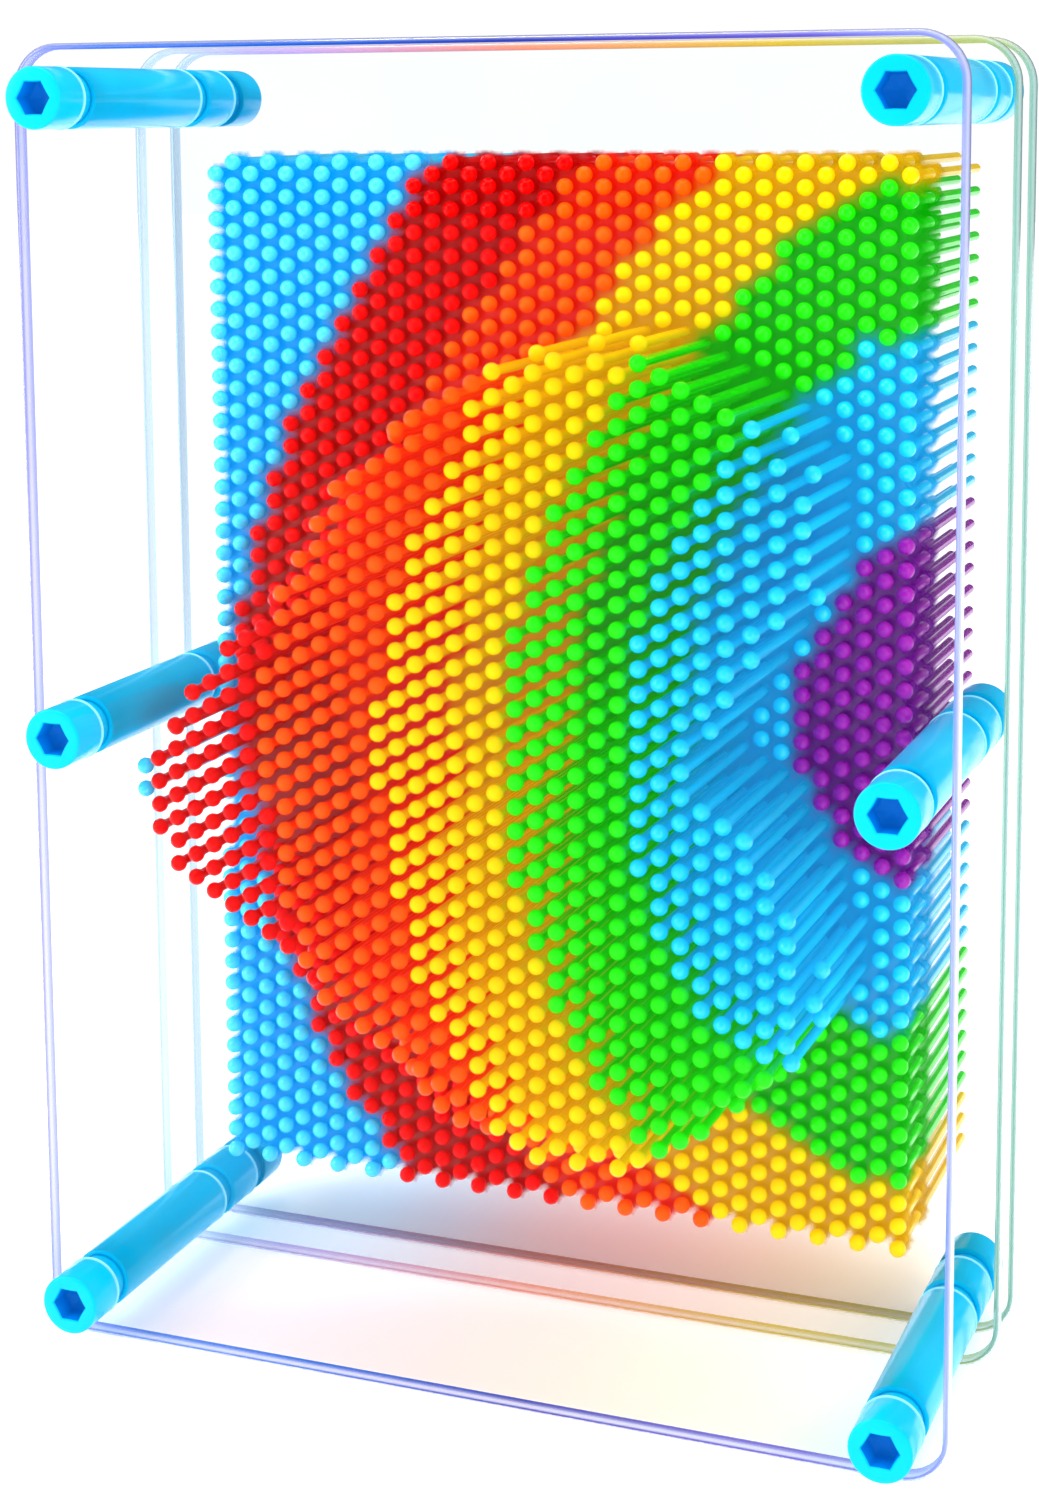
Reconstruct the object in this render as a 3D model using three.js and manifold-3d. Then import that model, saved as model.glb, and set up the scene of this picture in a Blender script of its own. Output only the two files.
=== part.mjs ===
// A pin art impression toy: a clear cover and two clear pin plates on six tie posts, and a field of
// coloured plastic pins that slide front to back through the two pin plates and keep the shape of
// whatever is pushed into them.
// Millimetres, +Z up, front facing -Y. The origin is under the middle of the whole object's box.
import * as THREE from "three";
import { mergeVertices } from "three/addons/utils/BufferGeometryUtils.js";
import Module from "manifold-3d";

const wasm = await Module();
wasm.setup();

// Plates. Depths run back from the middle of the front cover.
const PLATE_WIDTH = 143;
const PLATE_HEIGHT = 200;
const PLATE_THICKNESS = 2.5;
const PLATE_CORNER = 7;
const PLATE_CHAMFER = 0.5;
const FRONT_PIN_PLATE_DEPTH = 36;
const REAR_PIN_PLATE_DEPTH = 47.5;

// Tie posts: a socket-head bolt from the front, a long and a short sleeve, and a cap nut behind.
const POST_RADIUS = 4.6;
const POST_SIDES = 18;
const POST_INSET = 8;
const MIDDLE_POST_HEIGHT = 97;
const BOLT_HEAD_OUT = 8.5;
const NUT_LENGTH = 7.2;
const NUT_ROOF = 2;
const SHANK_RADIUS = 3.8;
const BORE_RADIUS = 4;
const PLATE_HOLE_RADIUS = 4.1;
const SOCKET_RADIUS = 2.75;
const SOCKET_DEPTH = 3.6;
const RIM = 0.6;
const GAP = 0.3;

// Pins: upright columns on a hexagonal pitch. Odd columns start half a pitch above even ones.
const COLUMNS = 37;
const ROWS = 46;
const PITCH = 3.6;
const COLUMN_PITCH = (PITCH * Math.sqrt(3)) / 2;
const FIELD_MIDDLE = 100;
const HEAD_RADIUS = 1.3;
const ROD_RADIUS = 0.75;
const ROD_LENGTH = 47;
const HEAD_STEPS = 6;
const PIN_SIDES = 10;
const BLOCK_INSET = 0.2;
const LEAST_SHARED_EDGE = 0.4 * PITCH;
const WINDOW_CLEARANCE = 0.3;

// Travel of a pin, from its head on the front pin plate until it meets the back of the cover.
const HEAD_REST = FRONT_PIN_PLATE_DEPTH - PLATE_THICKNESS / 2 - HEAD_RADIUS;
const TRAVEL = HEAD_REST - HEAD_RADIUS - PLATE_THICKNESS / 2 - GAP;

// The middle of the whole object's depth, from the bolt heads to the tails of the level pins.
const MIDDLE_DEPTH = (HEAD_REST + ROD_LENGTH - BOLT_HEAD_OUT) / 2;

// Colour bands are ovals round the middle of the field's right edge: half width, and height above and
// below the middle. Above it they are more pointed than an ellipse.
const BAND_MIDDLE = { x: 56, z: 99.4 };
const BANDS = [
  { name: "purple", width: 17, above: 28, below: 24 },
  { name: "blue", width: 34, above: 58, below: 48 },
  { name: "green", width: 52.5, above: 80, below: 71 },
  { name: "yellow", width: 72, above: 97, below: 88 },
  { name: "orange", width: 91, above: 112, below: 101.5 },
  { name: "red", width: 110.5, above: 135, below: 120 },
];
const POWER_ABOVE = 1.6;
const POWER_BELOW = 2;
const OUTER_COLOUR = "light_blue";
const COLOURS = {
  light_blue: "#46bef5",
  red: "#e00000",
  orange: "#fa6400",
  yellow: "#ecd000",
  green: "#00d200",
  blue: "#00a0f0",
  purple: "#780082",
};

// Outline of the rounded hollow pressed into the pins from behind, as a smooth closed curve.
const IMPRESSION = [
  [-55, 87], [-54.5, 93.5], [-43.7, 107.5], [-31, 122], [-25, 133.5], [-12.5, 145], [3, 154],
  [20, 157], [33, 153.5], [45.5, 142], [48.5, 132], [47, 121], [41, 112], [36, 104], [32, 98],
  [38, 92.5], [46, 82], [50, 70], [49.5, 59], [38, 47], [24, 37], [6, 37], [-12, 46], [-31, 61],
  [-47, 72], [-54.6, 80],
];
const IMPRESSION_STEPS = 200;
const CLIFF_START = 1.2;
const CLIFF_WIDTH = 2;
const CREST = 0.5;
const LEFT_FALL = 2;
const LEFT_FALL_WIDTH = 56;
const LEFT_FALL_POWER = 1.2;
const RIGHT_FALL = 7.5;
const RIGHT_FALL_START = 36;
const RIGHT_FALL_WIDTH = 12;

// Two pins of the left column stand forward on their own: their rows and how far they are raised.
const LONE_ROWS = [25, 26];
const LONE_RAISE = 27;

const plastic = (colour, roughness) =>
  new THREE.MeshStandardMaterial({ color: colour, roughness, metalness: 0 });
const clear = () => plastic("#dff1f7", 0.06);
const cyan = () => plastic("#1ea6e0", 0.2);

const toy = new THREE.Group();

function add(name, geometry, material, depth = 0, x = 0, z = 0) {
  const mesh = new THREE.Mesh(geometry, material);
  mesh.name = name;
  mesh.position.set(x, depth - MIDDLE_DEPTH, z);
  toy.add(mesh);
}

// Stands an extrusion, drawn in X and Y and extruded along Z, up in X and Z with its depth along Y.
function standUp(geometry, thickness) {
  return geometry.rotateX(Math.PI / 2).translate(0, thickness, 0);
}

// ---- plates ----

function roundedRectangle(halfWidth, bottom, top, radius) {
  const shape = new THREE.Shape();
  shape.moveTo(-halfWidth + radius, bottom);
  shape.lineTo(halfWidth - radius, bottom);
  shape.absarc(halfWidth - radius, bottom + radius, radius, -Math.PI / 2, 0);
  shape.lineTo(halfWidth, top - radius);
  shape.absarc(halfWidth - radius, top - radius, radius, 0, Math.PI / 2);
  shape.lineTo(-halfWidth + radius, top);
  shape.absarc(-halfWidth + radius, top - radius, radius, Math.PI / 2, Math.PI);
  shape.lineTo(-halfWidth, bottom + radius);
  shape.absarc(-halfWidth + radius, bottom + radius, radius, Math.PI, 1.5 * Math.PI);
  return shape;
}

// A rectangular outline for the window that the pins pass through.
function windowPath() {
  const margin = WINDOW_CLEARANCE + PLATE_CHAMFER;
  const halfWidth = (COLUMNS * COLUMN_PITCH) / 2 + margin;
  const halfHeight = ((ROWS + 0.5) * PITCH) / 2 + margin;
  const path = new THREE.Path();
  path.moveTo(-halfWidth, FIELD_MIDDLE - halfHeight);
  path.lineTo(halfWidth, FIELD_MIDDLE - halfHeight);
  path.lineTo(halfWidth, FIELD_MIDDLE + halfHeight);
  path.lineTo(-halfWidth, FIELD_MIDDLE + halfHeight);
  return path;
}

function plate(withWindow) {
  const shape = roundedRectangle(
    PLATE_WIDTH / 2 - PLATE_CHAMFER,
    PLATE_CHAMFER,
    PLATE_HEIGHT - PLATE_CHAMFER,
    PLATE_CORNER - PLATE_CHAMFER,
  );
  for (const { x, z } of POSTS) {
    const hole = new THREE.Path();
    hole.absarc(x, z, PLATE_HOLE_RADIUS + PLATE_CHAMFER, 0, 2 * Math.PI);
    shape.holes.push(hole);
  }
  if (withWindow) shape.holes.push(windowPath());
  const geometry = new THREE.ExtrudeGeometry(shape, {
    depth: PLATE_THICKNESS - 2 * PLATE_CHAMFER,
    bevelThickness: PLATE_CHAMFER,
    bevelSize: PLATE_CHAMFER,
    bevelSegments: 1,
    curveSegments: 6,
  });
  return standUp(geometry, PLATE_THICKNESS / 2 - PLATE_CHAMFER);
}

const SIDES = [
  ["left", -1],
  ["right", 1],
];
const LEVELS = [
  ["top", PLATE_HEIGHT - POST_INSET],
  ["middle", MIDDLE_POST_HEIGHT],
  ["bottom", POST_INSET],
];
const POSTS = LEVELS.flatMap(([level, z]) =>
  SIDES.map(([side, sign]) => ({
    name: `${level}_${side}`,
    x: sign * (PLATE_WIDTH / 2 - POST_INSET),
    z,
  })),
);

add("front_cover", plate(false), clear());
add("front_pin_plate", plate(true), clear(), FRONT_PIN_PLATE_DEPTH);
add("rear_pin_plate", plate(true), clear(), REAR_PIN_PLATE_DEPTH);

// ---- tie posts ----

// A solid turned round the Y axis, from points of radius and depth.
function turned(points, sides = POST_SIDES) {
  return new THREE.LatheGeometry(
    points.map(([radius, depth]) => new THREE.Vector2(radius, depth)),
    sides,
  );
}

function toSolid(geometry) {
  const bare = geometry.clone();
  bare.deleteAttribute("normal");
  bare.deleteAttribute("uv");
  const merged = mergeVertices(bare, 1e-4);
  return new wasm.Manifold(
    new wasm.Mesh({
      numProp: 3,
      vertProperties: merged.attributes.position.array,
      triVerts: new Uint32Array(merged.index.array),
    }),
  );
}

function toGeometry(solid) {
  const mesh = solid.getMesh();
  const geometry = new THREE.BufferGeometry();
  geometry.setAttribute("position", new THREE.BufferAttribute(mesh.vertProperties, 3));
  geometry.setIndex(new THREE.BufferAttribute(mesh.triVerts, 1));
  geometry.computeVertexNormals();
  return geometry;
}

const PLATE_HALF = PLATE_THICKNESS / 2;
const NUT_FRONT = REAR_PIN_PLATE_DEPTH + PLATE_HALF + GAP;
const NUT_BACK = REAR_PIN_PLATE_DEPTH + PLATE_HALF + NUT_LENGTH;

// The bolt's head has a hexagonal socket, and its shank runs back into the nut.
function tieBolt() {
  const front = -BOLT_HEAD_OUT;
  const shoulder = -PLATE_HALF - GAP;
  const end = NUT_BACK - NUT_ROOF - GAP;
  const body = turned([
    [0, front],
    [POST_RADIUS - RIM, front],
    [POST_RADIUS, front + RIM],
    [POST_RADIUS, shoulder],
    [SHANK_RADIUS, shoulder],
    [SHANK_RADIUS, end],
    [0, end],
  ]);
  const socket = new THREE.CylinderGeometry(SOCKET_RADIUS, SOCKET_RADIUS, 2 * SOCKET_DEPTH, 6);
  socket.translate(0, front, 0);
  return toGeometry(toSolid(body).subtract(toSolid(socket)));
}

function sleeve(fromPlate, toPlate) {
  const front = fromPlate + PLATE_HALF + GAP;
  const back = toPlate - PLATE_HALF - GAP;
  return turned([
    [BORE_RADIUS, front],
    [POST_RADIUS, front],
    [POST_RADIUS, back],
    [BORE_RADIUS, back],
    [BORE_RADIUS, front],
  ]);
}

function capNut() {
  return turned([
    [BORE_RADIUS, NUT_FRONT],
    [POST_RADIUS, NUT_FRONT],
    [POST_RADIUS, NUT_BACK - RIM],
    [POST_RADIUS - RIM, NUT_BACK],
    [0, NUT_BACK],
    [0, NUT_BACK - NUT_ROOF],
    [BORE_RADIUS, NUT_BACK - NUT_ROOF],
    [BORE_RADIUS, NUT_FRONT],
  ]);
}

for (const { name, x, z } of POSTS) {
  add(`tie_bolt_${name}`, tieBolt(), cyan(), 0, x, z);
  add(`long_sleeve_${name}`, sleeve(0, FRONT_PIN_PLATE_DEPTH), cyan(), 0, x, z);
  add(`short_sleeve_${name}`, sleeve(FRONT_PIN_PLATE_DEPTH, REAR_PIN_PLATE_DEPTH), cyan(), 0, x, z);
  add(`cap_nut_${name}`, capNut(), cyan(), 0, x, z);
}

// ---- pins ----

const columnX = (column) => (column - (COLUMNS - 1) / 2) * COLUMN_PITCH;
const TOP_PIN = FIELD_MIDDLE + ((ROWS - 0.5) * PITCH) / 2;
const pinZ = (column, row) => TOP_PIN - row * PITCH - (column % 2 ? 0 : PITCH / 2);

const outline = new THREE.CatmullRomCurve3(
  IMPRESSION.map(([x, z]) => new THREE.Vector3(x, z, 0)),
  true,
  "centripetal",
).getPoints(IMPRESSION_STEPS);

// Distance from a point to the impression's outline, positive inside it.
function insetFromOutline(x, z) {
  const point = new THREE.Vector3(x, z, 0);
  const nearest = new THREE.Vector3();
  const edge = new THREE.Line3();
  let distance = Infinity;
  let inside = false;
  for (let step = 1; step < outline.length; step++) {
    const from = outline[step - 1];
    const to = outline[step];
    edge.set(from, to).closestPointToPoint(point, true, nearest);
    distance = Math.min(distance, nearest.distanceTo(point));
    const crosses = from.y > z !== to.y > z;
    if (crosses && x < from.x + ((z - from.y) * (to.x - from.x)) / (to.y - from.y)) inside = !inside;
  }
  return inside ? distance : -distance;
}

// How far forward of its resting place a pin of the impression stands.
function raiseAt(x, z) {
  const inset = insetFromOutline(x, z);
  if (inset <= 0) return 0;
  const left = LEFT_FALL * Math.max(0, -x / LEFT_FALL_WIDTH) ** LEFT_FALL_POWER;
  const across = THREE.MathUtils.clamp((x - RIGHT_FALL_START) / RIGHT_FALL_WIDTH, 0, 1);
  const right = z > FIELD_MIDDLE ? RIGHT_FALL * across : 0;
  const cliff = Math.min(1, (inset + CLIFF_START) / CLIFF_WIDTH);
  return (TRAVEL - CREST - left - right) * cliff;
}

function colourAt(x, z) {
  const across = Math.abs(x - BAND_MIDDLE.x);
  const up = z - BAND_MIDDLE.z;
  const power = up > 0 ? POWER_ABOVE : POWER_BELOW;
  const inBand = ({ width, above, below }) =>
    (across / width) ** power + (Math.abs(up) / (up > 0 ? above : below)) ** power < 1;
  return BANDS.find(inBand)?.name ?? OUTER_COLOUR;
}

const isLone = (column, row) => column === 0 && LONE_ROWS.includes(row);

// Neighbouring pins in one column that share a colour and are all raised or all level.
function runsOf(column) {
  const x = columnX(column);
  const runs = [];
  for (let row = 0; row < ROWS; row++) {
    const z = pinZ(column, row);
    const lone = isLone(column, row);
    const raise = lone ? LONE_RAISE : raiseAt(x, z);
    const place = lone ? `lone_${row}` : raise > 0 ? "raised" : "level";
    const colour = colourAt(x, z);
    let run = runs.at(-1);
    if (!run || run.place !== place || run.colour !== colour) {
      run = { place, colour, column, top: z + PITCH / 2, pins: 0, raise: 0 };
      runs.push(run);
    }
    run.bottom = z - PITCH / 2;
    run.pins += 1;
    run.raise = Math.max(run.raise, raise);
  }
  return runs;
}

const sharedEdge = (a, b) => Math.min(a.top, b.top) - Math.max(a.bottom, b.bottom);

// Runs of one kind that lie side by side in successive columns make up one block of pins.
function gatherBlocks() {
  const blocks = [];
  for (let column = 0; column < COLUMNS; column++)
    for (const run of runsOf(column)) {
      const beside = blocks
        .filter(([first]) => first.place === run.place && first.colour === run.colour)
        .filter((block) => block.at(-1).column === column - 1)
        .filter((block) => sharedEdge(block.at(-1), run) > LEAST_SHARED_EDGE)
        .sort((a, b) => sharedEdge(b.at(-1), run) - sharedEdge(a.at(-1), run));
      if (beside.length) beside[0].push(run);
      else blocks.push([run]);
    }
  return blocks;
}

// The outline of a block's cells, drawn in by BLOCK_INSET all round.
function blockShape(block) {
  const above = [];
  const below = [];
  block.forEach((run, index) => {
    const left = columnX(run.column) - COLUMN_PITCH / 2;
    const right = left + COLUMN_PITCH;
    const before = block[index - 1];
    const after = block[index + 1];
    const shift = (stepsOut) => (stepsOut ? BLOCK_INSET : -BLOCK_INSET);
    const top = run.top - BLOCK_INSET;
    const bottom = run.bottom + BLOCK_INSET;
    above.push([left + shift(!before || run.top > before.top), top]);
    above.push([right + shift(after && after.top > run.top), top]);
    below.push([left + shift(!before || run.bottom < before.bottom), bottom]);
    below.push([right + shift(after && after.bottom < run.bottom), bottom]);
  });
  const points = [...above, ...below.reverse()];
  return new THREE.Shape(points.map(([x, z]) => new THREE.Vector2(x, z)));
}

function pinBlock(block) {
  const length = HEAD_RADIUS + ROD_LENGTH;
  const geometry = new THREE.ExtrudeGeometry(blockShape(block), {
    depth: length,
    bevelEnabled: false,
  });
  return standUp(geometry, length - HEAD_RADIUS);
}

// One pin: a ball head with a straight rod behind it, its head's middle at the origin.
function singlePin() {
  const profile = [];
  const neck = Math.PI - Math.asin(ROD_RADIUS / HEAD_RADIUS);
  for (let step = 0; step <= HEAD_STEPS; step++) {
    const angle = (neck * step) / HEAD_STEPS;
    profile.push([HEAD_RADIUS * Math.sin(angle), -HEAD_RADIUS * Math.cos(angle)]);
  }
  profile.push([ROD_RADIUS, ROD_LENGTH], [0, ROD_LENGTH]);
  return turned(profile, PIN_SIDES);
}

const counts = {};
for (const block of gatherBlocks()) {
  const { place, colour, column, top } = block[0];
  const pins = block.reduce((sum, run) => sum + run.pins, 0);
  const raise = Math.max(...block.map((run) => run.raise));
  const material = plastic(COLOURS[colour], 0.25);
  const kind = `${place.split("_")[0]}_${colour}_${pins > 1 ? "pins" : "pin"}`;
  counts[kind] = (counts[kind] ?? 0) + 1;
  const name = `${kind}_${counts[kind]}`;
  const depth = HEAD_REST - raise;
  if (pins > 1) add(name, pinBlock(block), material, depth);
  else add(name, singlePin(), material, depth, columnX(column), top - PITCH / 2);
}

export default toy;
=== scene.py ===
"""Pin art impression toy: the looks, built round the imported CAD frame.

Lengths are in millimetres and are turned to metres as each mesh is made, but the floor, the lights
and the camera are in metres. +X is the viewer's right, -Y is out of the front cover and +Z is up.
"""
import math
import random

import bpy
import numpy as np
from mathutils import Matrix, Vector
from mathutils.bvhtree import BVHTree
from mathutils.geometry import tessellate_polygon


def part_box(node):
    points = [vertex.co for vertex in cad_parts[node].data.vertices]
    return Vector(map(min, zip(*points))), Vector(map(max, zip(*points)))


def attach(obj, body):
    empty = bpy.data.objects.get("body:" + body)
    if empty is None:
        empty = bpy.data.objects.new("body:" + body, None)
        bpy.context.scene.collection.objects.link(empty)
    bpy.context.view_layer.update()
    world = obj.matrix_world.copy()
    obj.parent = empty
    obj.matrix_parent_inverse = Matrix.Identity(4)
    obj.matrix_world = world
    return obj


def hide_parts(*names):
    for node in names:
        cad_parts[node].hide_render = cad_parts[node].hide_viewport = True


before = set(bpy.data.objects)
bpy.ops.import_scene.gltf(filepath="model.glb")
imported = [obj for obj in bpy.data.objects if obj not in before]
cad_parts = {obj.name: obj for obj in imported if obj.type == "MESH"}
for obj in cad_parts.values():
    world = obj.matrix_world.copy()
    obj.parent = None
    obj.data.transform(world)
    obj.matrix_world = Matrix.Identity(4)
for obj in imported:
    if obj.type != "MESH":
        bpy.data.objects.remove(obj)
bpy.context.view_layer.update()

MM = 0.001
X, Y, Z = 0, 1, 2

# ---- sizes that the CAD parts give ----


def span(node, axis):
    """Lowest and highest place of a CAD node along an axis, in millimetres."""
    low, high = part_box(node)
    return low[axis] / MM, high[axis] / MM


COVER_FRONT, COVER_BACK = span("front_cover", Y)
FRONT_PLATE_FRONT, FRONT_PLATE_BACK = span("front_pin_plate", Y)
REAR_PLATE_FRONT, REAR_PLATE_BACK = span("rear_pin_plate", Y)
PLATE_LEFT, PLATE_RIGHT = span("front_cover", X)
PLATE_BOTTOM, PLATE_TOP = span("front_cover", Z)
PLATE_THICKNESS = COVER_BACK - COVER_FRONT
BOLT_FRONT, BOLT_BACK = span("tie_bolt_top_left", Y)
NUT_BACK = span("cap_nut_top_left", Y)[1]
SLEEVE_BOTTOM, SLEEVE_TOP = span("long_sleeve_top_left", Z)
POST_RADIUS = (SLEEVE_TOP - SLEEVE_BOTTOM) / 2
POSTS = [name.removeprefix("tie_bolt_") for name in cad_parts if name.startswith("tie_bolt_")]

# ---- sizes shared with the CAD source ----

PLATE_CORNER = 7
HOLE_RADIUS = 4.1
SHANK_RADIUS = 3.8
BORE_RADIUS = 4.0
SOCKET_RADIUS = 2.75
GAP = 0.3

COLUMNS = 37
ROWS = 46
PITCH = 3.6
COLUMN_PITCH = PITCH * math.sqrt(3) / 2
FIELD_MIDDLE = 100
TOP_PIN = FIELD_MIDDLE + (ROWS - 0.5) * PITCH / 2
HEAD_RADIUS = 1.3
ROD_RADIUS = 0.75
ROD_LENGTH = 47
HEAD_REST = FRONT_PLATE_FRONT - HEAD_RADIUS
TRAVEL = HEAD_REST - HEAD_RADIUS - COVER_BACK - GAP

# Outline of the hollow pressed into the pins, and how far forward they stand inside it.
IMPRESSION = [
    (-55, 87), (-54.5, 93.5), (-43.7, 107.5), (-31, 122), (-25, 133.5), (-12.5, 145), (3, 154),
    (20, 157), (33, 153.5), (45.5, 142), (48.5, 132), (47, 121), (41, 112), (36, 104), (32, 98),
    (38, 92.5), (46, 82), (50, 70), (49.5, 59), (38, 47), (24, 37), (6, 37), (-12, 46), (-31, 61),
    (-47, 72), (-54.6, 80),
]
CLIFF_START = 1.2
CLIFF_WIDTH = 2
CREST = 0.5
LEFT_FALL = 2
LEFT_FALL_WIDTH = 56
LEFT_FALL_POWER = 1.2
RIGHT_FALL = 7.5
RIGHT_FALL_START = 36
RIGHT_FALL_WIDTH = 12
LONE_RAISE = 27

# ---- mesh helpers ----


def make_object(name, points, faces, material, smooth_below):
    """A mesh object from points in millimetres, smooth except where faces meet at a sharper angle."""
    mesh = bpy.data.meshes.new(name)
    mesh.from_pydata(np.asarray(points, float) * MM, [], faces)
    mesh.validate()
    mesh.polygons.foreach_set("use_smooth", np.ones(len(mesh.polygons), bool))
    mesh.set_sharp_from_angle(angle=math.radians(smooth_below))
    mesh.materials.append(material)
    thing = bpy.data.objects.new(name, mesh)
    bpy.context.scene.collection.objects.link(thing)
    return thing


def stand_for(thing, body, node):
    """The piece rides on a body and stands for a CAD node, which it hides."""
    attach(thing, body)
    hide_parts(node)


def circle(radius, sides):
    """X and Z of points round a circle about 0, as the rows of an array."""
    angles = np.arange(sides) * 2 * math.pi / sides
    return np.column_stack([radius * np.cos(angles), radius * np.sin(angles)])


def moved(outline, centre):
    """The outline with its 0 moved to a centre, as a list of X and Z."""
    return [(centre[0] + x, centre[1] + z) for x, z in outline]


def lofted(outlines, depths, centre, closed=False):
    """Points and faces of a skin through outlines of X and Z, one at each depth along Y.

    An open skin is closed by a fan at each end; a closed one joins its last outline to its first.
    """
    sides = len(outlines[0])
    points = []
    for outline, depth in zip(outlines, depths):
        for x, z in outline:
            points.append((centre[0] + x, depth, centre[1] + z))
    faces = []
    rings = len(outlines)
    for ring in range(rings if closed else rings - 1):
        here = ring * sides
        there = (ring + 1) % rings * sides
        for side in range(sides):
            after = (side + 1) % sides
            faces.append((here + side, here + after, there + after, there + side))
    if not closed:
        for ring, flip in ((0, True), (rings - 1, False)):
            middle = len(points)
            points.append((centre[0], depths[ring], centre[1]))
            for side in range(sides):
                a = ring * sides + side
                b = ring * sides + (side + 1) % sides
                faces.append((middle, b, a) if flip else (middle, a, b))
    return points, faces


# ---- colours ----


def srgb(red, green, blue):
    """Linear colour from the 0 to 255 values of a screen."""
    return tuple(
        v / 12.92 if v <= 0.04045 else ((v + 0.055) / 1.055) ** 2.4
        for v in (red / 255, green / 255, blue / 255)
    )


PIN_COLOURS = {
    "light_blue": srgb(66, 208, 247),
    "red": srgb(225, 2, 2),
    "orange": srgb(252, 92, 4),
    "yellow": srgb(245, 205, 2),
    "green": srgb(30, 228, 2),
    "blue": srgb(12, 200, 244),
    "purple": srgb(150, 12, 155),
}
# Deep colours of the pins' light and shade in the gaps between them: painted on the sheet between the pin
# holes, and given to the pins as their painted glow.
PAINTED_PIN_LIGHT = {
    "light_blue": srgb(6, 165, 236),
    "red": srgb(175, 0, 0),
    "orange": srgb(220, 25, 0),
    "yellow": srgb(215, 165, 0),
    "green": srgb(5, 175, 0),
    "blue": srgb(8, 165, 218),
    "purple": srgb(105, 0, 135),
}
# Painted reflection of the pins' colours in the front cover's edge, from left to right.
COVER_EDGE_REFLECTION = [
    (0.0, srgb(125, 130, 215)),
    (0.1, srgb(50, 100, 195)),
    (0.3, srgb(15, 80, 180)),
    (0.55, srgb(30, 45, 145)),
    (0.85, srgb(85, 75, 175)),
    (1.0, srgb(140, 150, 215)),
]
# Painted reflection of the pins' colours in the pin plates' edges, from left to right.
PIN_PLATE_EDGE_REFLECTION = [
    (0.0, srgb(170, 200, 220)),
    (0.15, srgb(165, 150, 210)),
    (0.45, srgb(210, 130, 110)),
    (0.75, srgb(190, 165, 50)),
    (0.96, srgb(160, 175, 110)),
    (1.0, srgb(110, 165, 155)),
]
POST_COLOUR = srgb(5, 178, 222)
# Painted glow of the posts, though they are no lamp.
POST_PAINTED_GLOW = srgb(0, 160, 215)
# Painted shade: the darker blue inside the bolts' sockets, with a painted glow.
SOCKET_SHADE_COLOUR = srgb(0, 105, 190)
SOCKET_PAINTED_GLOW = srgb(0, 100, 190)
# Painted highlight: the pale ring round each post hole on a plate's front, with its painted glow.
HIGHLIGHT_RING_COLOUR = srgb(165, 230, 246)
HIGHLIGHT_RING_GLOW = srgb(120, 215, 240)

# ---- finishes ----

# Moulded plastic. ALBEDO is a share of the colour, and CLOUD the share that is left in a cloud.
# PALE_GLOSS says how far highlights are from the plastic's own colour, at 0, to white, at 1.
ALBEDO = 0.9
CLOUD = 0.88
CLOUD_SCALE = 120
CLOUD_DETAIL = 3
PLASTIC_SPECULAR = 0.6
# Strength of the painted glow that moulded plastic gives off, though it is no lamp.
PAINTED_GLOW_STRENGTH = 0.32
PIN_ROUGHNESS = 0.16
POST_ROUGHNESS = 0.2
SOCKET_ROUGHNESS = 0.3
PLAIN_GLOSS = 0.05
PALE_GLOSS = {"light_blue": 0.7, "blue": 0.6, "purple": 0.35, "green": 0.25}

# A clear sheet's flat faces.
SMEAR_SCALE = 35
SMEAR_DETAIL = 2
SMEAR_TINTS = [(0.985, 0.992, 0.996), (0.995, 0.998, 1.0)]
SHEEN_ROUGHNESS = 0.03
SHEEN_IOR = 1.12

# A clear sheet's edge, with a painted reflection of the pins' colours. EDGE_LINES says how much of that
# painted reflection shows, from the middle of the sheet's thickness, at 0, to its faces, at 1.
EDGE_LINES = [(0.0, 1.0), (0.3, 1.0), (0.5, 0.65), (0.75, 0.65), (0.92, 1.0), (1.0, 1.0)]
EDGE_PALE = (0.9, 0.92, 1)
EDGE_CLEARNESS = 0.5
EDGE_SPECULAR = 0.2
EDGE_IOR = 1.3
EDGE_ROUGHNESS = 0.12

# The sheet between the pin holes, with the pins' coloured light and shade painted on it as its colour and
# as a glow, though it is no lamp. The next name is the mesh attribute that holds that painted light.
PIN_LIGHT_LAYER = "pin_tint"
PIN_LIGHT_SHARE = 0.75
WEB_PAINTED_GLOW = 0.3
WEB_CLEARNESS = 0.25
WEB_SPECULAR = 0.1
WEB_IOR = 1.49
WEB_ROUGHNESS = 0.2

# The span of noise values that a cloudy colour spreads over.
NOISE_LOW = 0.3
NOISE_HIGH = 0.7


def new_material(name):
    """A material with its node tree and its Principled shader."""
    material = bpy.data.materials.new(name)
    material.use_nodes = True
    tree = material.node_tree
    return material, tree, tree.nodes["Principled BSDF"]


def ramp(tree, value, stops, interpolation="LINEAR"):
    """The colour that a value has on a ramp of stops, each of them a position and a colour."""
    node = tree.nodes.new("ShaderNodeValToRGB")
    node.color_ramp.interpolation = interpolation
    elements = node.color_ramp.elements
    while len(elements) < len(stops):
        elements.new(0.5)
    for element, (position, colour) in zip(elements, stops):
        element.position = position
        element.color = (*colour, 1)
    tree.links.new(value, node.inputs["Fac"])
    return node.outputs["Color"]


def cloudy(tree, scale, detail, low, high):
    """A colour that drifts from low to high and back over a piece."""
    place = tree.nodes.new("ShaderNodeTexCoord")
    noise = tree.nodes.new("ShaderNodeTexNoise")
    noise.inputs["Scale"].default_value = scale
    noise.inputs["Detail"].default_value = detail
    tree.links.new(place.outputs["Object"], noise.inputs["Vector"])
    return ramp(tree, noise.outputs["Fac"], [(NOISE_LOW, low), (NOISE_HIGH, high)])


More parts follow.
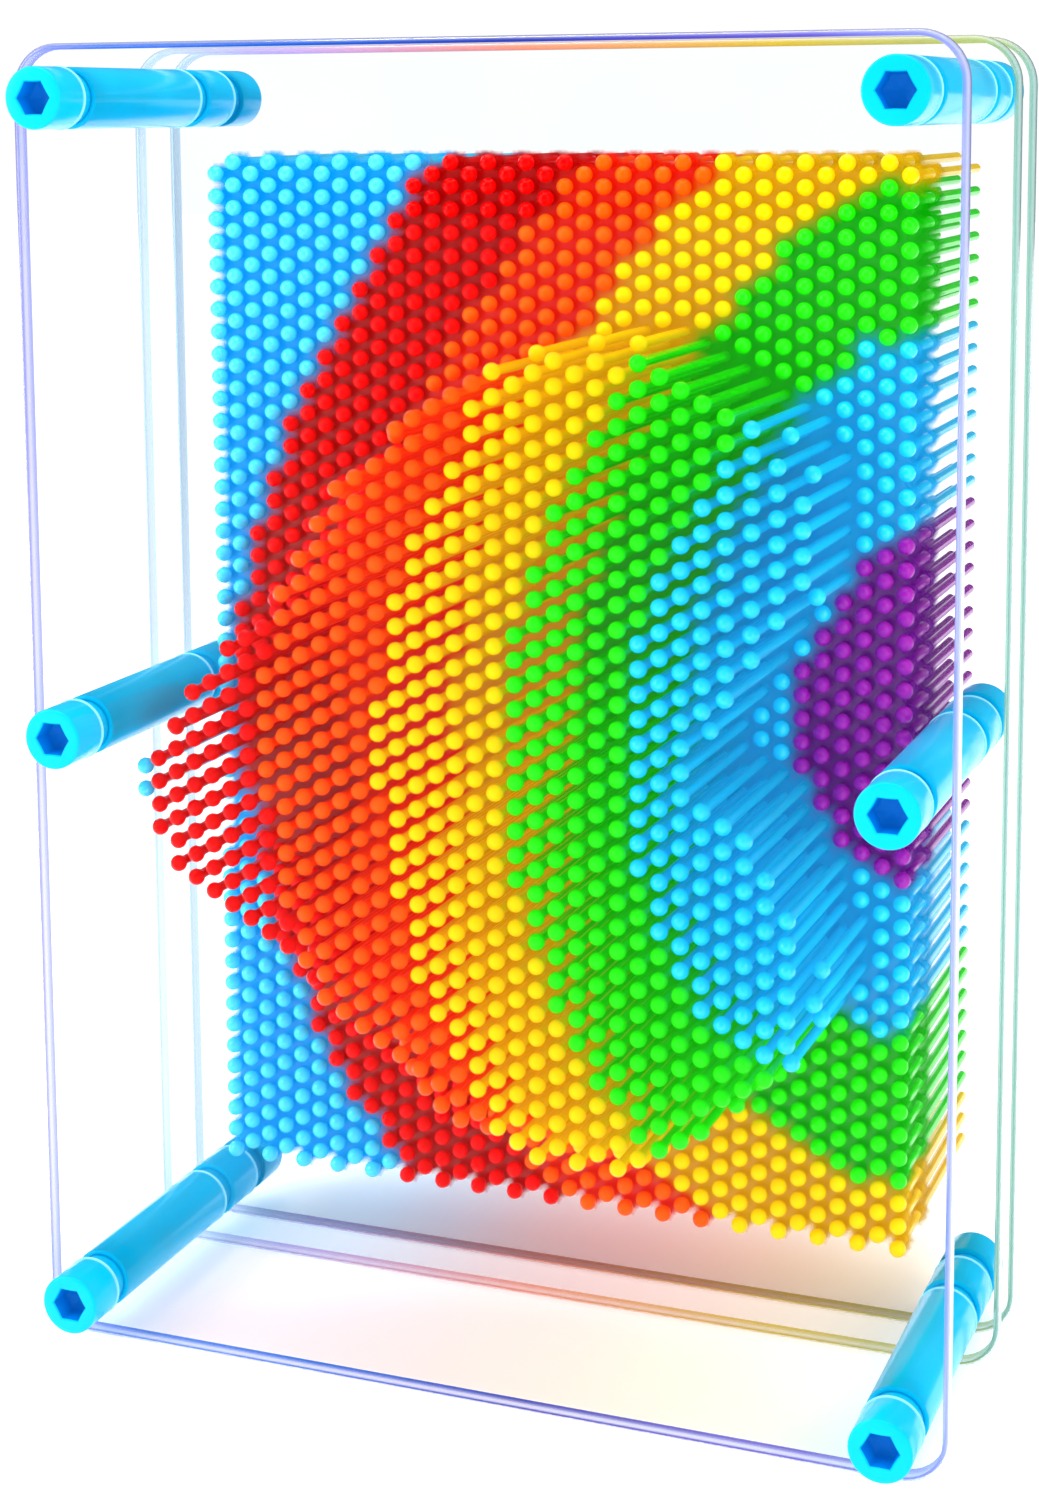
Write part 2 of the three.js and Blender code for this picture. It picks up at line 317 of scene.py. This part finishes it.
def map_range(tree, value, from_low, from_high, to_low, to_high):
    node = tree.nodes.new("ShaderNodeMapRange")
    node.inputs["From Min"].default_value = from_low
    node.inputs["From Max"].default_value = from_high
    node.inputs["To Min"].default_value = to_low
    node.inputs["To Max"].default_value = to_high
    tree.links.new(value, node.inputs["Value"])
    return node.outputs["Result"]


def calculated(tree, operation, *values, clamp=False):
    """A Math node's result. Each value is a number or another node's output."""
    node = tree.nodes.new("ShaderNodeMath")
    node.operation = operation
    node.use_clamp = clamp
    for entry, value in zip(node.inputs, values):
        if isinstance(value, bpy.types.NodeSocket):
            tree.links.new(value, entry)
        else:
            entry.default_value = value
    return node.outputs["Value"]


def show_mix(tree, share, first, second):
    """Makes the material a mix of two shaders, from all first, at a share of 0, to all second, at 1."""
    mix = tree.nodes.new("ShaderNodeMixShader")
    tree.links.new(share, mix.inputs["Fac"])
    tree.links.new(first.outputs["BSDF"], mix.inputs[1])
    tree.links.new(second.outputs["BSDF"], mix.inputs[2])
    tree.links.new(mix.outputs["Shader"], tree.nodes["Material Output"].inputs["Surface"])


def let_light_through(tree, shader):
    """Shadow and diffuse rays pass the clear plastic, so that what is behind it is lit."""
    path = tree.nodes.new("ShaderNodeLightPath")
    rays = [path.outputs["Is Shadow Ray"], path.outputs["Is Diffuse Ray"]]
    through = tree.nodes.new("ShaderNodeBsdfTransparent")
    show_mix(tree, calculated(tree, "MAXIMUM", *rays), shader, through)


def acrylic(name):
    """The flat faces of a clear sheet: see-through, with a faint gloss and faint smears."""
    material, tree, shader = new_material(name)
    tree.nodes.remove(shader)
    through = tree.nodes.new("ShaderNodeBsdfTransparent")
    smears = cloudy(tree, SMEAR_SCALE, SMEAR_DETAIL, *SMEAR_TINTS)
    tree.links.new(smears, through.inputs["Color"])
    gloss = tree.nodes.new("ShaderNodeBsdfGlossy")
    gloss.inputs["Roughness"].default_value = SHEEN_ROUGHNESS
    fresnel = tree.nodes.new("ShaderNodeFresnel")
    fresnel.inputs["IOR"].default_value = SHEEN_IOR
    show_mix(tree, fresnel.outputs["Fac"], through, gloss)
    return material


def moulded(name, colour, roughness, painted_glow, pale_gloss=PLAIN_GLOSS):
    """Glossy, slightly cloudy plastic with a painted glow, though it is no lamp, in the colour given after
    the roughness.
    """
    material, tree, shader = new_material(name)
    light = tuple(c * ALBEDO for c in colour)
    dark = tuple(c * CLOUD for c in light)
    surface = cloudy(tree, CLOUD_SCALE, CLOUD_DETAIL, dark, light)
    tree.links.new(surface, shader.inputs["Base Color"])
    shader.inputs["Roughness"].default_value = roughness
    shader.inputs["Specular IOR Level"].default_value = PLASTIC_SPECULAR
    highlight = [c * (1 - pale_gloss) + pale_gloss for c in colour]
    shader.inputs["Specular Tint"].default_value = (*highlight, 1)
    # Painted glow: the plastic gives off light of its own, though it is no lamp.
    shader.inputs["Emission Color"].default_value = (*painted_glow, 1)
    shader.inputs["Emission Strength"].default_value = PAINTED_GLOW_STRENGTH
    return material


def edge_with_painted_reflection(name, middle_depth, stops):
    """The polished edge of a clear sheet, with a painted reflection of the pins' colours: stops run from
    left to right.
    """
    material, tree, shader = new_material(name)
    place = tree.nodes.new("ShaderNodeTexCoord")
    parts = tree.nodes.new("ShaderNodeSeparateXYZ")
    tree.links.new(place.outputs["Object"], parts.inputs["Vector"])
    across = map_range(tree, parts.outputs["X"], PLATE_LEFT * MM, PLATE_RIGHT * MM, 0, 1)
    from_middle = calculated(tree, "SUBTRACT", parts.outputs["Y"], middle_depth * MM)
    distance = calculated(tree, "ABSOLUTE", from_middle)
    share = map_range(tree, distance, 0, PLATE_THICKNESS / 2 * MM, 0, 1)
    greys = [(position, (strength,) * 3) for position, strength in EDGE_LINES]
    mix = tree.nodes.new("ShaderNodeMix")
    mix.data_type = "RGBA"
    mix.inputs["A"].default_value = (*EDGE_PALE, 1)
    tree.links.new(ramp(tree, share, greys, "B_SPLINE"), mix.inputs["Factor"])
    # Painted reflection: the pins' colours along the edge, from left to right.
    tree.links.new(ramp(tree, across, stops), mix.inputs["B"])
    tree.links.new(mix.outputs["Result"], shader.inputs["Base Color"])
    shader.inputs["Transmission Weight"].default_value = EDGE_CLEARNESS
    shader.inputs["Specular IOR Level"].default_value = EDGE_SPECULAR
    shader.inputs["IOR"].default_value = EDGE_IOR
    shader.inputs["Roughness"].default_value = EDGE_ROUGHNESS
    let_light_through(tree, shader)
    return material


def web_with_painted_light(name):
    """The sheet between the pin holes, with the light and shade of the pins round about painted on it as
    its colour and as a glow, though it is no lamp.
    """
    material, tree, shader = new_material(name)
    tint = tree.nodes.new("ShaderNodeVertexColor")
    tint.layer_name = PIN_LIGHT_LAYER
    # Painted light: the pins' colours on a clear sheet, as its colour and as a glow, though it is no lamp.
    tree.links.new(tint.outputs["Color"], shader.inputs["Base Color"])
    tree.links.new(tint.outputs["Color"], shader.inputs["Emission Color"])
    tree.links.new(tint.outputs["Alpha"], shader.inputs["Alpha"])
    shader.inputs["Emission Strength"].default_value = WEB_PAINTED_GLOW
    shader.inputs["Transmission Weight"].default_value = WEB_CLEARNESS
    shader.inputs["IOR"].default_value = WEB_IOR
    shader.inputs["Specular IOR Level"].default_value = WEB_SPECULAR
    shader.inputs["Roughness"].default_value = WEB_ROUGHNESS
    let_light_through(tree, shader)
    return material


clear = acrylic("acrylic")
web_painted_light = web_with_painted_light("acrylic_round_pins_painted_light")
cyan = moulded("cyan_plastic", POST_COLOUR, POST_ROUGHNESS, POST_PAINTED_GLOW)
socket_painted_shade = moulded("socket_painted_shade_plastic", SOCKET_SHADE_COLOUR, SOCKET_ROUGHNESS, SOCKET_PAINTED_GLOW)
painted_highlight_ring = moulded("painted_highlight_ring", HIGHLIGHT_RING_COLOUR, POST_ROUGHNESS, HIGHLIGHT_RING_GLOW)
pin_materials = {
    name: moulded(
        f"pin_{name}", colour, PIN_ROUGHNESS, PAINTED_PIN_LIGHT[name], PALE_GLOSS.get(name, PLAIN_GLOSS)
    )
    for name, colour in PIN_COLOURS.items()
}

# ---- plates ----

EDGE_ROUND = 0.9
EDGE_STEPS = 5
CORNER_STEPS = 10
HOLE_SIDES = 40
# How far outside the post the painted highlight ring starts.
HIGHLIGHT_RING_MARGIN = 0.1
PIN_HOLE_SIDES = 12
PIN_HOLE_RADIUS = 0.86
PLATE_SMOOTH_BELOW = 40
PLACE_DIGITS = 4

# A plate's materials, by their index on its mesh.
# The last one is the painted highlight ring round each post hole.
CLEAR, EDGE, WEB, HIGHLIGHT_RING = range(4)


def rounded_outline(inset):
    """The plates' rounded rectangle, drawn in by inset, as a list of X and Z."""
    points = []
    radius = PLATE_CORNER - inset
    for right, top, start in ((1, 0, 270), (1, 1, 0), (0, 1, 90), (0, 0, 180)):
        x = PLATE_RIGHT - PLATE_CORNER if right else PLATE_LEFT + PLATE_CORNER
        z = PLATE_TOP - PLATE_CORNER if top else PLATE_BOTTOM + PLATE_CORNER
        for step in range(CORNER_STEPS + 1):
            angle = math.radians(start + 90 * step / CORNER_STEPS)
            points.append((x + radius * math.cos(angle), z + radius * math.sin(angle)))
    return points


def post_centre(name):
    low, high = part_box(f"long_sleeve_{name}")
    middle = (low + high) / 2 / MM
    return middle.x, middle.z


def pin_place(column, row):
    """X and Z of a pin. Odd columns start half a pitch above even ones."""
    x = (column - (COLUMNS - 1) / 2) * COLUMN_PITCH
    z = TOP_PIN - row * PITCH - (0 if column % 2 else PITCH / 2)
    return x, z


def cell_corner(column, row, corner):
    """Corner of the hexagon round a pin: corner 0 points to +X, and they run anticlockwise.

    It is rounded, so that the cells that share it agree on it.
    """
    x, z = pin_place(column, row)
    angle = math.radians(60 * corner)
    radius = PITCH / math.sqrt(3)
    return (
        round(x + radius * math.cos(angle), PLACE_DIGITS),
        round(z + radius * math.sin(angle), PLACE_DIGITS),
    )


def node_of_each_pin():
    """Finds which CAD node holds each pin of the field, by looking along the pin's axis."""
    trees = {}
    for name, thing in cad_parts.items():
        if "_pin" in name and "plate" not in name:
            corners = [v.co.copy() for v in thing.data.vertices]
            sides = [tuple(p.vertices) for p in thing.data.polygons]
            trees[name] = BVHTree.FromPolygons(corners, sides)
    found = {}
    for column in range(COLUMNS):
        for row in range(ROWS):
            x, z = pin_place(column, row)
            start = Vector((x * MM, COVER_FRONT * MM, z * MM))
            for name, tree in trees.items():
                if tree.ray_cast(start, Vector((0, 1, 0)))[0] is not None:
                    found[column, row] = name
                    break
    return found


def colour_of(node):
    """The colour in a pin node's name, which runs place_colour_pins_number."""
    return node.split("_pin")[0].split("_", 1)[1]


class PlateMesh:
    """Collects one plate: flat faces front and back, with walls round every outline.

    One dictionary holds the colours of the pins' painted light round each point, and border the points
    where that painted light has faded out.
    """

    def __init__(self, front, back):
        self.front = front
        self.back = back
        self.points = []
        self.faces = []
        self.face_materials = []
        self.pin_light = {}
        self.border = set()

    def add_points(self, outline, depth):
        first = len(self.points)
        self.points.extend((x, depth, z) for x, z in outline)
        return list(range(first, len(self.points)))

    def add_face(self, face, material):
        self.faces.append(face)
        self.face_materials.append(material)

    def add_wall(self, outer, inner, material):
        for side in range(len(outer)):
            after = (side + 1) % len(outer)
            self.add_face((outer[side], outer[after], inner[after], inner[side]), material)


def add_rim(made):
    """The plate's rounded edge. Returns its outline, front and back."""
    quarter = []
    for step in range(EDGE_STEPS + 1):
        angle = math.radians(90 * step / EDGE_STEPS)
        quarter.append((EDGE_ROUND * (1 - math.sin(angle)), EDGE_ROUND * (1 - math.cos(angle))))
    profile = [(inset, made.front + depth) for inset, depth in quarter]
    profile += [(inset, made.back - depth) for inset, depth in reversed(quarter)]
    rings = [made.add_points(rounded_outline(inset), depth) for inset, depth in profile]
    for outer, inner in zip(rings, rings[1:]):
        made.add_wall(outer, inner, EDGE)
    return rings[0], rings[-1]


def add_post_hole(made, post):
    """A hole for a post, with a thin painted highlight ring round it in front. Returns its outline, front
    and back.
    """
    centre = post_centre(post)
    hole = moved(circle(HOLE_RADIUS, HOLE_SIDES), centre)[::-1]
    highlight_outline = moved(circle(POST_RADIUS + HIGHLIGHT_RING_MARGIN, HOLE_SIDES), centre)[::-1]
    near_highlight = made.add_points(highlight_outline, made.front)
    near = made.add_points(hole, made.front)
    far = made.add_points(hole, made.back)
    made.add_wall(near, far, CLEAR)
    # Painted highlight ring between the post and the hole.
    made.add_wall(near_highlight, near, HIGHLIGHT_RING)
    return near_highlight, far


def add_pin_holes(made, pin_light_colours):
    """Hexagonal cells with a round hole each. Returns the field's outline, front and back.

    The painted light of the pins fades out towards that outline.
    """
    corners = {}
    unshared = {}

    def corner_index(place):
        if place not in corners:
            corners[place] = [made.add_points([place], depth)[0] for depth in (made.front, made.back)]
        return corners[place]

    per_side = PIN_HOLE_SIDES // 6
    for column in range(COLUMNS):
        for row in range(ROWS):
            ring = moved(circle(PIN_HOLE_RADIUS, PIN_HOLE_SIDES), pin_place(column, row))
            near = made.add_points(ring, made.front)
            far = made.add_points(ring, made.back)
            made.add_wall(far, near, WEB)
            colour = pin_light_colours[column, row]
            for index in near + far:
                made.pin_light[index] = [colour]
            for side in range(6):
                start = cell_corner(column, row, side)
                end = cell_corner(column, row, (side + 1) % 6)
                part = [(side * per_side + k) % PIN_HOLE_SIDES for k in range(per_side + 1)]
                a, b = corner_index(start), corner_index(end)
                for index in a:
                    made.pin_light.setdefault(index, []).append(colour)
                made.add_face((a[0], b[0], *[near[k] for k in reversed(part)]), WEB)
                made.add_face((b[1], a[1], *[far[k] for k in part]), WEB)
                if (end, start) in unshared:
                    del unshared[end, start]
                else:
                    unshared[start, end] = True
    near, far = zip(*[corners[place] for place in walk_round(unshared)])
    made.border.update(near + far)
    return list(near), list(far)


def walk_round(edges):
    """The places along a loop of edges, against their direction."""
    following = {start: end for start, end in edges}
    place = next(iter(following))
    loop = []
    while place in following:
        loop.append(place)
        place = following.pop(place)
    return loop[::-1]


def fill_flat(made, loops):
    """Fills the flat front and back between the plate's outline and the outlines of the holes."""
    for side, flip in ((0, False), (1, True)):
        indices = [loop[side] for loop in loops]
        flat = [[Vector((made.points[i][0], made.points[i][2], 0)) for i in loop] for loop in indices]
        joined = [i for loop in indices for i in loop]
        for triangle in tessellate_polygon(flat):
            a, b, c = (joined[k] for k in triangle)
            made.add_face((a, b, c) if flip else (c, b, a), CLEAR)


def store_pin_light(mesh, made):
    """Stores each point's mean painted pin light on the mesh, with an alpha of 0 at the border."""
    colours = np.ones((len(made.points), 4), np.float32)
    for index, colour in made.pin_light.items():
        colours[index, :3] = np.mean(colour, axis=0) * PIN_LIGHT_SHARE
        colours[index, 3] = 0 if index in made.border else 1
    tint = mesh.color_attributes.new(PIN_LIGHT_LAYER, "FLOAT_COLOR", "POINT")
    tint.data.foreach_set("color", colours.ravel())


def add_plate(name, edge_stops, pin_light_colours=None):
    """One plate, with a hole for every pin, and the pins' painted light round them, where its colours are
    given.
    """
    made = PlateMesh(*span(name, Y))
    loops = [add_rim(made)]
    loops += [add_post_hole(made, post) for post in POSTS]
    if pin_light_colours:
        loops.append(add_pin_holes(made, pin_light_colours))
    fill_flat(made, loops)
    thing = make_object(f"{name}_sheet", made.points, made.faces, clear, PLATE_SMOOTH_BELOW)
    thing.data.materials.append(edge_with_painted_reflection(f"{name}_edge", (made.front + made.back) / 2, edge_stops))
    thing.data.materials.append(web_painted_light)
    thing.data.materials.append(painted_highlight_ring)
    thing.data.polygons.foreach_set("material_index", made.face_materials)
    store_pin_light(thing.data, made)
    stand_for(thing, "frame", name)


pin_nodes = node_of_each_pin()
# The painted light and shade of the pins on the pin plates, pin by pin.
pin_light_colours = {place: PAINTED_PIN_LIGHT[colour_of(node)] for place, node in pin_nodes.items()}
add_plate("front_cover", COVER_EDGE_REFLECTION)
add_plate("front_pin_plate", PIN_PLATE_EDGE_REFLECTION, pin_light_colours)
add_plate("rear_pin_plate", PIN_PLATE_EDGE_REFLECTION, pin_light_colours)

# ---- tie posts ----

POST_SIDES = 48
RIM_ROUND = 0.35
SOCKET_HOLLOW = 0.05
SOCKET_DEPTH = 3.4
# The socket from its floor to the head's face: its width's share, and its depth below that face.
SOCKET_STEPS = [(0.85, SOCKET_DEPTH), (0.97, SOCKET_DEPTH - 0.3), (1, 0.25), (1.08, 0.02)]
SOCKET_BANDS = 2
POST_SMOOTH_BELOW = 50


def socket_outline(scale):
    """A hexagon with slightly hollow sides."""
    outline = []
    for step in range(POST_SIDES):
        angle = 2 * math.pi * step / POST_SIDES
        from_middle = (angle % math.radians(60)) - math.radians(30)
        straight = SOCKET_RADIUS * math.cos(math.radians(30)) / math.cos(from_middle)
        hollow = SOCKET_HOLLOW * math.cos(3 * from_middle)
        radius = scale * (straight - hollow)
        outline.append((radius * math.cos(angle), radius * math.sin(angle)))
    return outline


def rounded_rim(edge, inward):
    """Outlines and depths of a quarter round from the end face to the side, inward being +1 or -1."""
    rings = []
    for step in range(EDGE_STEPS + 1):
        angle = math.radians(90 * step / EDGE_STEPS)
        radius = POST_RADIUS - RIM_ROUND * (1 - math.sin(angle))
        depth = edge + inward * RIM_ROUND * (1 - math.cos(angle))
        rings.append((circle(radius, POST_SIDES), depth))
    return rings


def tube(front, back):
    """Outlines and depths of a post's outside from a front face to a back one, both rounded off."""
    return [*rounded_rim(front, 1), *reversed(rounded_rim(back, -1))]


def add_turned(name, rings, centre, node, closed=False):
    outlines, depths = zip(*rings)
    points, faces = lofted(outlines, depths, centre, closed)
    thing = make_object(name, points, faces, cyan, POST_SMOOTH_BELOW)
    stand_for(thing, "frame", node)
    return thing


def add_bolt(post, centre):
    """A bolt whose socket's floor and sides have painted shade, a darker blue."""
    shank = circle(SHANK_RADIUS, POST_SIDES)
    rings = [(socket_outline(scale), BOLT_FRONT + depth) for scale, depth in SOCKET_STEPS]
    rings += tube(BOLT_FRONT, COVER_FRONT - GAP)
    rings += [(shank, COVER_FRONT - GAP), (shank, BOLT_BACK)]
    bolt = add_turned(f"bolt_{post}", rings, centre, f"tie_bolt_{post}")
    bolt.data.materials.append(socket_painted_shade)
    faces = bolt.data.polygons
    floor = len(faces) - 2 * POST_SIDES
    # The socket's sides and floor take the painted shade.
    for face in [*faces[: SOCKET_BANDS * POST_SIDES], *faces[floor : floor + POST_SIDES]]:
        face.material_index = 1


def add_sleeve(length, post, centre, front, back):
    """A sleeve between two plates, whose facing sides are at front and back."""
    bore = circle(BORE_RADIUS, POST_SIDES)
    front += GAP
    back -= GAP
    rings = [(bore, front), *tube(front, back), (bore, back)]
    add_turned(f"{length}_sleeve_{post}_tube", rings, centre, f"{length}_sleeve_{post}", True)


def add_nut(post, centre):
    """A cap nut, hollow as far as the bolt's end."""
    bore = circle(BORE_RADIUS, POST_SIDES)
    front = REAR_PLATE_BACK + GAP
    rings = [(bore, BOLT_BACK + GAP), (bore, front), *tube(front, NUT_BACK)]
    add_turned(f"nut_{post}", rings, centre, f"cap_nut_{post}")


for post in POSTS:
    centre = post_centre(post)
    add_bolt(post, centre)
    add_sleeve("long", post, centre, COVER_BACK, FRONT_PLATE_FRONT)
    add_sleeve("short", post, centre, FRONT_PLATE_BACK, REAR_PLATE_FRONT)
    add_nut(post, centre)

# ---- pins ----

PIN_SIDES = 14
PIN_SMOOTH_BELOW = 60
HEAD_RINGS = 7
NECK_SWELL = 0.12
NECK_LENGTH = 0.5
TAIL_ROUND = 0.35
OUTLINE_STEPS = 8
UNEVEN = (0.1, 0.25)
UNEVEN_SEED = 11


def smooth_outline(points, steps):
    """A closed centripetal Catmull-Rom curve through the points."""
    made = []
    count = len(points)
    points = [np.array(p, float) for p in points]
    for index in range(count):
        p0, p1, p2, p3 = (points[(index + k) % count] for k in (-1, 0, 1, 2))
        d0, d1, d2 = (math.sqrt(np.linalg.norm(b - a)) for a, b in ((p0, p1), (p1, p2), (p2, p3)))
        leave = ((p1 - p0) / d0 - (p2 - p0) / (d0 + d1) + (p2 - p1) / d1) * d1
        arrive = ((p2 - p1) / d1 - (p3 - p1) / (d1 + d2) + (p3 - p2) / d2) * d1
        for step in range(steps):
            t = step / steps
            square = (2 * p1 + leave - 2 * p2 + arrive) * t ** 3
            bend = (-3 * p1 + 3 * p2 - 2 * leave - arrive) * t ** 2
            made.append(square + bend + leave * t + p1)
    return np.array(made)


OUTLINE = smooth_outline(IMPRESSION, OUTLINE_STEPS)


def distance_to_outline(x, z):
    along = np.roll(OUTLINE, -1, axis=0) - OUTLINE
    to_point = np.array([x, z]) - OUTLINE
    share = np.clip((to_point * along).sum(1) / (along ** 2).sum(1), 0, 1)
    return float(np.linalg.norm(to_point - share[:, None] * along, axis=1).min())


def raise_at(x, z):
    """How far forward of its resting place a pin of the impression stands."""
    left = LEFT_FALL * max(0.0, -x / LEFT_FALL_WIDTH) ** LEFT_FALL_POWER
    across = min(max((x - RIGHT_FALL_START) / RIGHT_FALL_WIDTH, 0.0), 1.0)
    right = RIGHT_FALL * across if z > FIELD_MIDDLE else 0.0
    cliff = min(1.0, (distance_to_outline(x, z) + CLIFF_START) / CLIFF_WIDTH)
    return (TRAVEL - CREST - left - right) * cliff


def pin_profile():
    """Radius and depth along a pin, from its head's front to its tail, with 0 at the head's middle."""
    profile = []
    neck = math.pi - math.asin((ROD_RADIUS + NECK_SWELL) / HEAD_RADIUS)
    for ring in range(1, HEAD_RINGS + 1):
        angle = neck * ring / HEAD_RINGS
        profile.append((HEAD_RADIUS * math.sin(angle), -HEAD_RADIUS * math.cos(angle)))
    profile.append((ROD_RADIUS, profile[-1][1] + NECK_LENGTH))
    profile.append((ROD_RADIUS, ROD_LENGTH - TAIL_ROUND))
    profile.append((ROD_RADIUS - TAIL_ROUND, ROD_LENGTH))
    return profile


def pin_template():
    """Points and faces of one pin with its head's middle at the origin."""
    profile = pin_profile()
    points = [(0, -HEAD_RADIUS, 0)]
    for radius, depth in profile:
        points.extend((x, depth, z) for x, z in circle(radius, PIN_SIDES))
    points.append((0, ROD_LENGTH, 0))
    faces = []
    for side in range(PIN_SIDES):
        after = (side + 1) % PIN_SIDES
        faces.append((0, 1 + after, 1 + side))
        for ring in range(len(profile) - 1):
            a = 1 + ring * PIN_SIDES
            b = a + PIN_SIDES
            faces.append((a + side, a + after, b + after, b + side))
        last = 1 + (len(profile) - 1) * PIN_SIDES
        faces.append((last + side, last + after, len(points) - 1))
    return np.array(points, float), faces


def add_pins():
    """One mesh of pins for each CAD node that holds pins, each pin as far forward as it stands at rest."""
    points, faces = pin_template()
    uneven = random.Random(UNEVEN_SEED)
    for name in sorted(set(pin_nodes.values())):
        all_points = []
        all_faces = []
        places = [pin_place(*place) for place, node in pin_nodes.items() if node == name]
        for number, (x, z) in enumerate(places):
            ahead = 0.0
            if name.startswith("lone"):
                ahead = LONE_RAISE
            elif name.startswith("raised"):
                ahead = raise_at(x, z) + uneven.uniform(*UNEVEN)
            all_points.append(points + (x, HEAD_REST - ahead, z))
            first = number * len(points)
            all_faces.extend(tuple(first + i for i in face) for face in faces)
        colour = colour_of(name)
        joined = np.concatenate(all_points)
        thing = make_object(f"{name}_drawn", joined, all_faces, pin_materials[colour], PIN_SMOOTH_BELOW)
        stand_for(thing, name, name)


add_pins()

# ---- floor, light and camera, in metres ----

FLOOR_REACH = 4
FLOOR_ALBEDO = 0.97
FLOOR_GLOW = 0.2

# The world is this bright, but dimmer where it is mirrored.
WORLD_LIGHT = 1.06
WORLD_REFLECTION = 0.12

# Each softbox has a place, a width and height, and a power in watts.
LIGHT_TARGET = (0, 0, 0.1)
SOFTBOXES = {
    "left_softbox": ((-0.7, -0.55, 0.45), (0.5, 0.7), 6),
    "right_softbox": ((0.75, -0.5, 0.4), (0.4, 0.7), 3.5),
    "top_softbox": ((0.0, -0.2, 0.9), (0.8, 0.6), 5),
}

CAMERA_AZIMUTH = math.radians(21.17)
CAMERA_ELEVATION = math.radians(7.4)
CAMERA_ROLL = math.radians(-0.38)
CAMERA_PLACE = Vector((0.1404, -0.3745, 0.1897))
CAMERA_LENS = 62.7
CAMERA_SENSOR = 36
CAMERA_SHIFT = (-0.0035, -0.2)
CLIP_START = 0.01
CLIP_END = 20


def add_floor():
    mesh = bpy.data.meshes.new("floor")
    low, high = -FLOOR_REACH, FLOOR_REACH
    corners = [(low, low, 0), (high, low, 0), (high, high, 0), (low, high, 0)]
    mesh.from_pydata(corners, [], [(0, 1, 2, 3)])
    floor = bpy.data.objects.new("floor", mesh)
    bpy.context.scene.collection.objects.link(floor)
    material, _, shader = new_material("pale_floor")
    shader.inputs["Base Color"].default_value = (FLOOR_ALBEDO, FLOOR_ALBEDO, FLOOR_ALBEDO, 1)
    shader.inputs["Specular IOR Level"].default_value = 0
    shader.inputs["Emission Color"].default_value = (1, 1, 1, 1)
    shader.inputs["Emission Strength"].default_value = FLOOR_GLOW
    mesh.materials.append(material)


def add_world():
    world = bpy.data.worlds.new("studio")
    world.use_nodes = True
    tree = world.node_tree
    background = tree.nodes["Background"]
    background.inputs["Color"].default_value = (1, 1, 1, 1)
    path = tree.nodes.new("ShaderNodeLightPath")
    rays = [path.outputs["Is Glossy Ray"], path.outputs["Is Transmission Ray"]]
    mirrored = calculated(tree, "SUBTRACT", *rays, clamp=True)
    strength = map_range(tree, mirrored, 0, 1, WORLD_LIGHT, WORLD_REFLECTION)
    tree.links.new(strength, background.inputs["Strength"])
    bpy.context.scene.world = world


def add_softbox(name, place, size, power):
    light = bpy.data.lights.new(name, "AREA")
    light.shape = "RECTANGLE"
    light.size, light.size_y = size
    light.energy = power
    thing = bpy.data.objects.new(name, light)
    thing.location = place
    towards = Vector(LIGHT_TARGET) - Vector(place)
    thing.rotation_euler = towards.to_track_quat("-Z", "Y").to_euler()
    bpy.context.scene.collection.objects.link(thing)


def add_camera():
    data = bpy.data.cameras.new("camera")
    data.sensor_width = CAMERA_SENSOR
    data.lens = CAMERA_LENS
    data.shift_x, data.shift_y = CAMERA_SHIFT
    data.clip_start = CLIP_START
    data.clip_end = CLIP_END
    camera = bpy.data.objects.new("camera", data)
    forward = Vector(
        (
            -math.sin(CAMERA_AZIMUTH) * math.cos(CAMERA_ELEVATION),
            math.cos(CAMERA_AZIMUTH) * math.cos(CAMERA_ELEVATION),
            -math.sin(CAMERA_ELEVATION),
        )
    )
    turn = forward.to_track_quat("-Z", "Y").to_matrix().to_4x4()
    roll = Matrix.Rotation(CAMERA_ROLL, 4, "Z")
    camera.matrix_world = Matrix.Translation(CAMERA_PLACE) @ turn @ roll
    bpy.context.scene.collection.objects.link(camera)
    bpy.context.scene.camera = camera


add_floor()
add_world()
for name, (place, size, power) in SOFTBOXES.items():
    add_softbox(name, place, size, power)
add_camera()
bpy.context.scene.view_settings.view_transform = "Standard"
